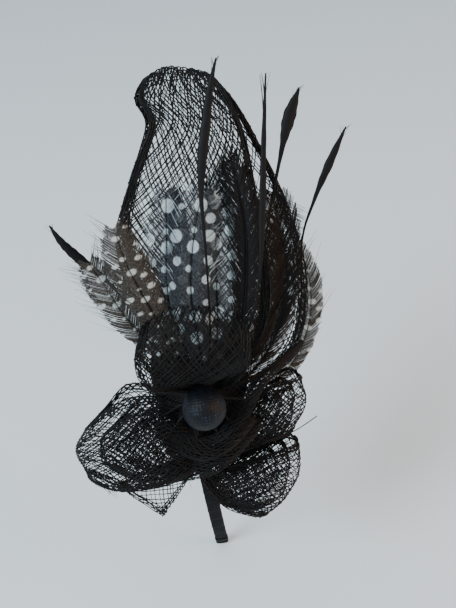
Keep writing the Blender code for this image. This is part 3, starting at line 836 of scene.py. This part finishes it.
makeBlade("spearOne", "spear_1", [
    (8, 26.2, 6, 0.25), (11, 32, 22, 0.22), (13, 34, 45, 0.3), (13.8, 34.3, 59, 0.6),
    (15.5, 34.6, 69, 1.3), (18, 35, 79, 1.25), (20.5, 35.6, 88, 0.8), (23, 36, 95, 0.12)], 9, 1)
makeBlade("spearTwo", "spear_2", [
    (12, 26.2, 4.5, 0.25), (22, 31, 20, 0.22), (27, 32, 34, 0.3), (30, 32, 51, 0.9),
    (33, 32, 71, 0.7), (36, 32, 90, 0.12)], 7, 2)
makeBlade("spearThree", "spear_3", [
    (15, 10.6, 4, 0.25), (27, 14, 25, 0.22), (32, 15.4, 46, 0.22), (39, 16, 68, 0.6),
    (43, 16, 79, 1.9), (47, 16, 87, 0.12)], 7, 3)
makeBlade("spearFour", "spear_4", [
    (17, 7.6, -3, 0.25), (33, 8.2, 4, 0.22), (40, 9.4, 19, 0.22), (43, 11, 41, 0.25),
    (48, 12, 53, 0.5), (54, 13.2, 64, 1.25), (60, 14, 74, 0.12)], 6, 4)
makeBlade("curlFeather", "curl_feather", [
    (1.5, 12, 4, 0.3), (-9, 14, 20, 0.3), (-18, 15, 36, 0.5), (-26, 15, 45, 1.5),
    (-30.5, 17, 51.5, 1.1), (-33, 18, 57, 0.15)], 5, 5)


def makeTuft():
    # loose barbs that fan out from a quill behind the right edge of the tall loop
    rng = np.random.default_rng(12)
    steps = np.linspace(0, 1, 14)
    lines = [trimPlace(blendRows([(28.5, 3.2, 22.7), (35.5, 3.1, 44), (33.7, 3.1, 59)], steps))]
    radii = [np.full(14, 1.6)]
    for number in range(30):
        part = (number + rng.uniform(-0.4, 0.4)) / 29
        start = np.array([37.7, 3, 56.2]) + part * np.array([3.1, 0, -12.5])
        end = np.array([47.1, 3, 49.4]) + part * np.array([-2.9, 0, -7.8])
        end = end + rng.normal(0, 0.35, 3) + (end - start) * rng.uniform(-0.25, 0.08)
        lines.append(trimPlace(blendRows([start + (start - end) * 0.45, start, end], steps)))
        radii.append(1 - 0.65 * steps)
    piece = tubes("barbTuft", lines, radii, 0.34, blackVane)
    keepPiece(piece, ("barb_tuft",))


makeTuft()
print("quills made")


# The alice band: the middle line of its strip as (y, z), cut short by a length at each tip.
bandSize = {
    "radius": 68.0, "shoulder": 76.2, "crown": 56.0, "power": 2.3, "tipSpread": 58.0,
    "tipHeight": 1.6}


def bandPath(cut):
    radius, shoulder = bandSize["radius"], bandSize["shoulder"]
    drop, inset = shoulder - bandSize["tipHeight"], radius - bandSize["tipSpread"]
    legRadius = (drop**2 + inset**2) / (2 * inset)
    lean = math.asin(drop / legRadius) - cut / legRadius
    turns = lean * (1 - np.arange(24) / 24)
    near = np.stack([
        legRadius * (1 - np.cos(turns)) - radius, shoulder - legRadius * np.sin(turns)], 1)
    arc, power = math.pi * np.arange(73) / 72, 2 / bandSize["power"]
    rise = bandSize["crown"] * np.abs(np.sin(arc)) ** power
    crown = np.stack([-radius * signedPower(np.cos(arc), power), shoulder + rise], 1)
    return np.concatenate([near, crown, near[::-1] * [-1, 1]])


# Double-faced satin ribbon: smooth, with a soft sheen across fine weft ribs.
def makeSatin():
    material, shader = startMaterial("blackSatinRibbon", {
        "Base Color": hexColour("#030304"), "Anisotropic": 0.3, "Specular IOR Level": 0.08,
        "Sheen Weight": 0.01, "Sheen Roughness": 0.35, "Sheen Tint": hexColour("#8d93a0")})
    coords = addNode(material, "ShaderNodeTexCoord")
    ribs = addNode(material, "ShaderNodeTexWave", {"Scale": 0.314 / (0.45 * mm), "Distortion": 1.5},
                   {"Vector": coords.outputs["Object"]}, bands_direction="Z")
    bump = bumpFrom(material, ribs.outputs["Fac"], 0.1, 0.02 * mm)
    rough = mapRange(material, objectNoise(material, 4 * mm, Detail=4.0), 0.0, 1.0, 0.5, 0.75)
    return feed(material, shader, normal=bump, rough=rough)


# Pressed wool felt: matt, its fibres lying every way, pale lint caught here and there.
def makeFelt():
    material, shader = startMaterial("pressedFelt", {
        "Roughness": 0.95, "Specular IOR Level": 0.2, "Sheen Weight": 0.08,
        "Sheen Roughness": 0.6, "Sheen Tint": hexColour("#6d6d72")})
    fibres = objectNoise(material, 0.5 * mm, Detail=6.0, Roughness=0.7, Distortion=1.2)
    colour = mixColour(material, fibres, hexColour("#050506"), hexColour("#151518"))
    return feed(material, shader, colour=colour, normal=bumpFrom(material, fibres, 0.6, 0.25 * mm))


# Cold-rolled spring strip and pressed button shell: bare steel with fine rolling lines.
def makeSteel():
    material, shader = startMaterial("springSteel", {"Metallic": 1.0, "Anisotropic": 0.5})
    lines = objectNoise(material, 0.8 * mm, Detail=4.0)
    colour = mixColour(material, lines, hexColour("#8f9195"), hexColour("#b4b6b9"))
    rough = mapRange(material, lines, 0.0, 1.0, 0.25, 0.45)
    return feed(material, shader, colour=colour, rough=rough)


# Sewing thread: tightly laid two-ply, with a faint gloss on each turn.
def makeThread():
    material, shader = startMaterial("sewingThread", {"Roughness": 0.6, "Specular IOR Level": 0.3})
    ply = objectNoise(material, 0.3 * mm, Detail=2.0)
    return feed(material, shader, colour=mixColour(
        material, ply, hexColour("#050506"), hexColour("#121215")))


# Button cover: blue-black cloth in a fine plain weave. Pale blue specks on the tops of threads here
# and there are painted highlights in its colour, standing in for light caught by the weave. The
# weave is drawn coarser than it is, to be seen.
def makeCoverCloth():
    material, shader = startMaterial("buttonCloth", {
        "Roughness": 0.5, "Specular IOR Level": 0.2, "Sheen Weight": 0.01,
        "Sheen Roughness": 0.4, "Sheen Tint": hexColour("#7f95b5")})
    uv = addNode(material, "ShaderNodeUVMap", uv_map="cover")
    # the map is in millimetres; a wave's period is 0.314 over its scale
    weave = []
    for direction in ("X", "Y"):
        weave.append(addNode(material, "ShaderNodeTexWave", {
            "Scale": 0.314 / 0.5, "Distortion": 2.5, "Detail": 2.0, "Detail Scale": 1.5},
            {"Vector": uv.outputs[0]}, bands_direction=direction))
    tops = mathNode(material, "MULTIPLY", weave[0].outputs["Fac"], weave[1].outputs["Fac"])
    patchy = addNode(material, "ShaderNodeTexNoise", {
        "Scale": 0.8, "Detail": 5.0, "Roughness": 0.85}, {"Vector": uv.outputs[0]})
    speckHighlightPatch = mapRange(material, patchy.outputs["Fac"], 0.5, 0.66)
    # painted highlight: thread tops times patchy noise lift the cloth's colour to pale blue specks
    paintedSpeckHighlight = mathNode(material, "MULTIPLY", tops, speckHighlightPatch)
    colour = mixColour(material, paintedSpeckHighlight, hexColour("#030509"), hexColour("#263d56"))
    return feed(material, shader, colour=colour, normal=bumpFrom(material, tops, 0.7, 0.12 * mm))


satin, felt, steel, thread, coverCloth = (
    makeSatin(), makeFelt(), makeSteel(), makeThread(), makeCoverCloth())


for node in ("band_core", "button_shell", "button_back"):
    nodeMaterials = frame["nodes"][node].data.materials
    nodeMaterials.clear()
    nodeMaterials.append(steel)


def gridPiece(name, columns, rows, shape, material, closed=True):
    # a grid bent by shape(u, v), its two long sides welded where it closes on itself
    bm = bmesh.new()
    bmesh.ops.create_grid(bm, x_segments=columns, y_segments=rows, size=1.0)
    flat = np.array([vert.co[:2] for vert in bm.verts])
    u, v = (flat[:, 0] + 1) / 2, (flat[:, 1] + 1) / 2
    for vert, spot in zip(bm.verts, shape(u, v)):
        vert.co = Vector(spot)
    if closed:
        bmesh.ops.remove_doubles(bm, verts=bm.verts, dist=0.002 * mm)
    bmesh.ops.recalc_face_normals(bm, faces=bm.faces)
    mesh = meshFrom(name, bm)
    mesh.shade_smooth()
    return linkPiece(name, mesh, material)


wrapSize = {"cut": 6.3, "pitch": 7.5, "halfWide": 2.66, "halfDeep": 1.16, "corner": 0.55}


def makeBandWrap():
    path = bandPath(wrapSize["cut"])
    runs = runLengths(path)
    length, pitch = runs[-1], wrapSize["pitch"]

    def shape(u, v):
        station = u * length
        middle, ahead, behind = (
            np.stack([np.interp(station + shift, runs, path[:, k]) for k in (0, 1)], 1)
            for shift in (0, 0.5, -0.5))
        run = unit(ahead - behind)
        angle = 2 * math.pi * v
        # a flat oval; the winding's free edge makes one slanted step in every turn
        wide = signedPower(np.cos(angle), wrapSize["corner"])
        deep = signedPower(np.sin(angle), wrapSize["corner"])
        phase = (station / pitch + v) % 1.0
        step = 0.1 * np.clip(phase / 0.06, 0, 1) * (1 - phase) - 0.03
        crinkle = 0.012 * np.sin(station * 1.3 + 3 * angle)
        x = wide * (wrapSize["halfWide"] + step + crinkle)
        off = deep * (wrapSize["halfDeep"] + step + crinkle)
        y, z = middle[:, 0] - run[:, 1] * off, middle[:, 1] + run[:, 0] * off
        return np.stack([x, y, z], 1) * mm

    wrap = gridPiece("bandWrap", 900, 24, shape, satin)
    keepPiece(wrap, ("band_ribbon",))


tipSize = {"inner": 6.15, "length": 7.1, "halfWide": 2.75, "halfDeep": 1.3, "lowest": 0.4}


def makeTipCaps():
    # the ribbon's ends folded over the tips and pressed: soft rounded blocks
    for side, node in ((-1, "tip_cap_near"), (1, "tip_cap_far")):
        path = bandPath(0.0) if side < 0 else bandPath(0.0)[::-1]
        run = (path[1] - path[0]) / np.linalg.norm(path[1] - path[0])

        def shape(u, v):
            station = tipSize["inner"] - tipSize["length"] * u
            angle = 2 * math.pi * v
            close = np.sqrt(np.clip(1 - np.clip((u - 0.72) / 0.28, 0, 1) ** 2, 0, 1))
            wide = signedPower(np.cos(angle), 0.5)
            deep = signedPower(np.sin(angle), 0.5)
            puff = 0.1 * np.sin(u * 9) + 0.04 * np.sin(3 * angle + 5 * u)
            x = wide * (tipSize["halfWide"] + puff) * (0.35 + 0.65 * close)
            off = deep * (tipSize["halfDeep"] + puff) * close
            y = path[0][0] + run[0] * station - run[1] * off
            z = path[0][1] + run[1] * station + run[0] * off
            return np.stack([x, y, np.maximum(z, tipSize["lowest"])], 1) * mm

        cap = gridPiece("tipWrapNear" if side < 0 else "tipWrapFar", 40, 40, shape, satin)
        keepPiece(cap, (node,))


baseSize = {"middle": 4, "halfWide": 16, "halfTall": 22, "stitches": 64}


def makeFelts():
    rng = np.random.default_rng(40)

    def disc(u, v):
        # rings run from the middle of the front, over the rim, to the middle of the back
        angle = 2 * math.pi * v
        across = np.where(u < 0.44, u / 0.44, np.where(u > 0.56, (1 - u) / 0.44, 1.0))
        rim = np.clip((u - 0.44) / 0.12, 0, 1)
        out = 1.0 + 0.95 * np.cos(math.pi * rim)
        bulge = 0.35 * np.sin(math.pi * rim)
        radius = across + 0.004 * np.sin(17 * angle) * across
        lump = 0.12 * np.sin(radius * 19 + angle * 3) * np.sin(angle * 5) * across * (1 - across)
        x = baseSize["middle"] + (baseSize["halfWide"] * radius + bulge) * np.cos(angle)
        up = (baseSize["halfTall"] * radius + bulge) * np.sin(angle)
        return trimPlace(np.stack([x, out + lump, up], 1))

    keepPiece(gridPiece("feltBase", 90, 120, disc, felt), ("base_disc",))

    def strip(u, v):
        # over the band and down to the base on both sides of it
        x = (v * 2 - 1) * 10
        hump = np.clip((4.4 - np.abs(x)) / 0.9, 0, 1)
        out = -0.8 - 2.9 * hump * hump * (3 - 2 * hump) + 0.06 * np.sin(x * 4 + u * 20)
        up = (u * 2 - 1) * 7 * (1 - 0.02 * np.sin(x))
        return trimPlace(np.stack([x, out, up], 1))

    tab = gridPiece("feltTab", 40, 80, strip, felt, closed=False)
    thicken(tab, "feltThickness", 0.9)
    keepPiece(tab, ("band_tab",))

    # overcast stitches round the rim of the base and along the tab
    lines = []
    for number in range(baseSize["stitches"]):
        angle = 2 * math.pi * (number + rng.uniform(-0.15, 0.15)) / baseSize["stitches"]
        steps = np.linspace(0, 1, 9)
        swing = np.sin(steps * math.pi)
        reach = 0.94 + 0.075 * swing
        out = 2.15 - 2.3 * steps
        lean = angle + 0.05 * steps
        x = baseSize["middle"] + baseSize["halfWide"] * reach * np.cos(lean)
        up = baseSize["halfTall"] * reach * np.sin(lean)
        lines.append(trimPlace(np.stack([x, out, up], 1)))
    for side in (-1, 1):
        for number in range(9):
            up = -6.2 + number * 1.5 + np.array([0, 0.1, 0.5, 0.8, 0.9])
            x = side * np.array([8.3, 8.35, 8.5, 8.65, 8.7])
            out = np.array([-1.1, -1.5, -1.55, -1.5, -1.1])
            lines.append(trimPlace(np.stack([x, out, up], 1)))
    stitches = tubes("feltStitches", lines, [1.0] * len(lines), 0.3, thread, 1)
    keepPiece(stitches)


bindingSize = {
    "turns": 27, "x": 4, "up": -13, "foot": 2.4, "height": 14.2, "radius": 2.5, "waist": 0.5,
    "thread": 0.55, "strands": 12, "strand": 0.5}


def makeBinding():
    # thread wound in close turns round the gathered roots, pulled in at the waist
    turns = bindingSize["turns"]
    turn = np.linspace(0, turns * 2 * math.pi, turns * 18)
    part = turn / turn[-1]
    pulled = bindingSize["radius"] - bindingSize["waist"] * np.sin(math.pi * part)
    radius = pulled + 0.08 * np.sin(turn * 0.37)
    line = np.stack([
        bindingSize["x"] + radius * np.cos(turn),
        bindingSize["foot"] + bindingSize["height"] * part,
        bindingSize["up"] + radius * np.sin(turn)], 1)
    winding = tubes("rootWinding", [trimPlace(line)], [1.0], bindingSize["thread"], thread, 1)
    keepPiece(winding, ("root_binding",))

    # the strands that sew the ball's shank down through the knot to the roots
    rng = np.random.default_rng(31)
    steps = np.linspace(0, 1, 12)
    strands = []
    for _ in range(bindingSize["strands"]):
        top = np.array([6, 27.4, -1]) + rng.uniform(-1, 1, 3) * [0.9, 0.5, 0.9]
        foot = np.array([4.5, 16.0, -12]) + rng.uniform(-1, 1, 3) * [1.8, 1.0, 1.8]
        waist = (top + foot) / 2 + rng.normal(0, 0.4, 3)
        strands.append(trimPlace(blendRows([top, waist, foot], steps)))
    sewing = tubes("ballStrands", strands, [1.0] * len(strands), bindingSize["strand"], thread, 1)
    keepPiece(sewing)


ballSize = {"middle": (6, 35.5, -1.0), "radius": 6.4, "wrap": 122, "tucks": 22, "tuck": 0.16}


def makeBall():
    # cloth drawn over a shell and gathered at the back in small tucks
    middle, size = np.array(ballSize["middle"]), ballSize["radius"]

    def shape(u, v):
        turn, dip = 2 * math.pi * v, u * math.radians(ballSize["wrap"])
        gathered = np.clip((dip - 1.3) / 0.8, 0, 1)
        tucks = ballSize["tuck"] * np.sin(ballSize["tucks"] * turn) * gathered
        radius = size + tucks + 0.03 * np.sin(9 * turn) * np.sin(5 * dip)
        out = middle[1] + radius * np.cos(dip)
        x, up = radius * np.sin(dip) * np.cos(turn), radius * np.sin(dip) * np.sin(turn)
        return trimPlace(np.stack([middle[0] + x, out, middle[2] + up], 1))

    ball = gridPiece("buttonCloth", 60, 96, shape, coverCloth)
    uvs = ball.data.uv_layers.new(name="cover")
    trimMiddle = Vector(trimPlace(middle))
    for loop in ball.data.loops:
        spot = ball.data.vertices[loop.vertex_index].co - trimMiddle
        direction = Vector((spot.dot(Vector(sideWay)), spot.dot(Vector(upWay))))
        depth = max(0.05, 1 + spot.dot(Vector(outWay)) / (size * mm))
        uvs.data[loop.index].uv = direction / mm / depth
    keepPiece(ball, ("button_cover",))


makeBandWrap()
makeTipCaps()
makeFelts()
makeBinding()
makeBall()
print("band, base and button made")


floorGrid = bmesh.new()
bmesh.ops.create_grid(floorGrid, x_segments=1, y_segments=1, size=6.0)
paleCloth = startMaterial("paleCloth", {"Roughness": 0.9, "Base Color": hexColour("#e4eef1")})[0]
floor = linkPiece("floor", meshFrom("floor", floorGrid), paleCloth)


def addLight(name, place, target, size, power, colour):
    data = bpy.data.lights.new(name, "AREA")
    data.shape = "DISK"
    data.size = size
    data.energy = power
    data.color = hexColour(colour)[:3]
    light = bpy.data.objects.new(name, data)
    light.location = place
    light.rotation_euler = (Vector(target) - Vector(place)).to_track_quat("-Z", "Y").to_euler()
    bpy.context.scene.collection.objects.link(light)


addLight("windowLight", (-0.9, -0.7, 1.1), (0, -0.05, 0.12), 0.7, 22, "#d9e8f4")
addLight("lampLight", (0.9, -0.4, 0.5), (0, -0.05, 0.12), 0.5, 6.5, "#ffc48a")
world = bpy.data.worlds.new("studio")
world.use_nodes = True
world.node_tree.nodes["Background"].inputs["Color"].default_value = hexColour("#d5dee6")
world.node_tree.nodes["Background"].inputs["Strength"].default_value = 1.0
bpy.context.scene.world = world


def addCamera():
    # looks down at the wearer's right side, tipped so that the piece leans to the left
    elevation, roll = math.radians(38), math.radians(8)
    ahead = Vector((0, math.cos(elevation), -math.sin(elevation)))
    level, raised = Vector((1, 0, 0)), Vector((0, math.sin(elevation), math.cos(elevation)))
    right = math.cos(roll) * level - math.sin(roll) * raised
    top = math.sin(roll) * level + math.cos(roll) * raised
    turn = Matrix((right, top, -ahead)).transposed().to_4x4()
    data = bpy.data.cameras.new("camera")
    data.lens = 40
    data.sensor_width = 36
    data.clip_start = 0.01
    camera = bpy.data.objects.new("camera", data)
    camera.matrix_world = Matrix.Translation((0.01708, -0.23039, 0.26763)) @ turn
    bpy.context.scene.collection.objects.link(camera)
    bpy.context.scene.camera = camera


addCamera()
